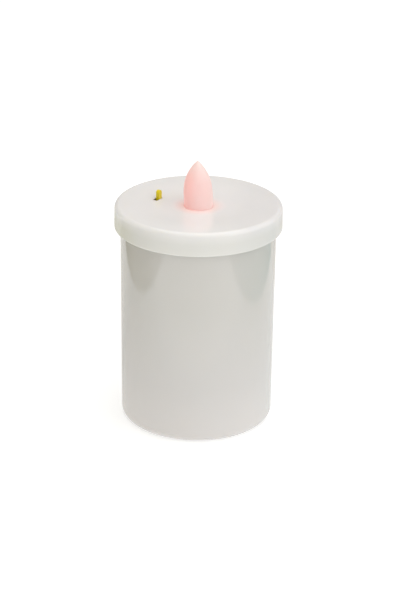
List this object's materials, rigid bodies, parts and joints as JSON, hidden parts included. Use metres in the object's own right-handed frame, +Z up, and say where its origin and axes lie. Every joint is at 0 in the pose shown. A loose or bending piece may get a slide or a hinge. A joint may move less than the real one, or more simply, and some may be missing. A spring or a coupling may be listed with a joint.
{
  "type": "flameless led candle",
  "caption": "Battery votive light: milky plastic cup with a lift-off lid that carries a hollow plastic flame, a small slide switch and the works.",
  "frame": {"origin": "middle of the cup's base, on the surface that the candle stands on", "axes": "+Z up through the flame; +X to the right and +Y to the back, with the switch behind and left of the flame"},
  "size_m": [0.07, 0.07, 0.1138],
  "materials": {
    "cup_plastic": "milky, lightly translucent, smooth and glossy",
    "lid_plastic": "milky white, satin gloss",
    "flame_plastic": "pale red, translucent, satin",
    "yellow_plastic": "plain moulded yellow",
    "led_epoxy": "diffused clear epoxy",
    "tinned_wire": "tinned",
    "nickel_plate": "nickel-plated spring steel",
    "steel": "zinc-plated steel",
    "board_laminate": "green solder mask on laminate",
    "black_resin": "black epoxy dome",
    "resistor_paint": "lacquered, with colour bands",
    "capacitor_resin": "dipped resin",
    "brown_phenolic": "paper phenolic",
    "holder_plastic": "moulded, fine grain",
    "cell_sleeve": "plain foil sleeve with steel ends",
    "red_vinyl": "insulated wire",
    "black_vinyl": "insulated wire"
  },
  "bodies": {
    "base": {"cup": "cup_plastic"},
    "lid_unit": {"lid": "lid_plastic", "flame_cap": "flame_plastic", "led_lens": "led_epoxy", "led_lead_anode": "tinned_wire", "led_lead_cathode": "tinned_wire", "circuit_board": "board_laminate", "flicker_chip": "black_resin", "resistor": "resistor_paint", "capacitor": "capacitor_resin", "switch_housing": "steel", "switch_base": "brown_phenolic", "switch_pin_1": "tinned_wire", "switch_pin_2": "tinned_wire", "switch_pin_3": "tinned_wire", "board_screw_left": "steel", "board_screw_right": "steel", "battery_holder": "holder_plastic", "holder_screw_left": "steel", "holder_screw_right": "steel", "cell_a": "cell_sleeve", "cell_b": "cell_sleeve", "bridge_plate": "nickel_plate", "bridge_spring": "nickel_plate", "positive_contact": "nickel_plate", "negative_contact": "nickel_plate", "negative_spring": "nickel_plate", "wire_red": "red_vinyl", "wire_black": "black_vinyl"},
    "switch_slider": {"switch_knob": "yellow_plastic", "switch_wiper": "nickel_plate"}
  },
  "joints": [
    {"name": "lid_lift", "type": "slide", "parent": "base", "child": "lid_unit", "axis": [0, 0, 1], "range_m": [0, 0.068]},
    {"name": "switch_slide", "type": "slide", "parent": "lid_unit", "child": "switch_slider", "axis": [-0.5, -0.866, 0], "range_m": [0, 0.002]}
  ]
}
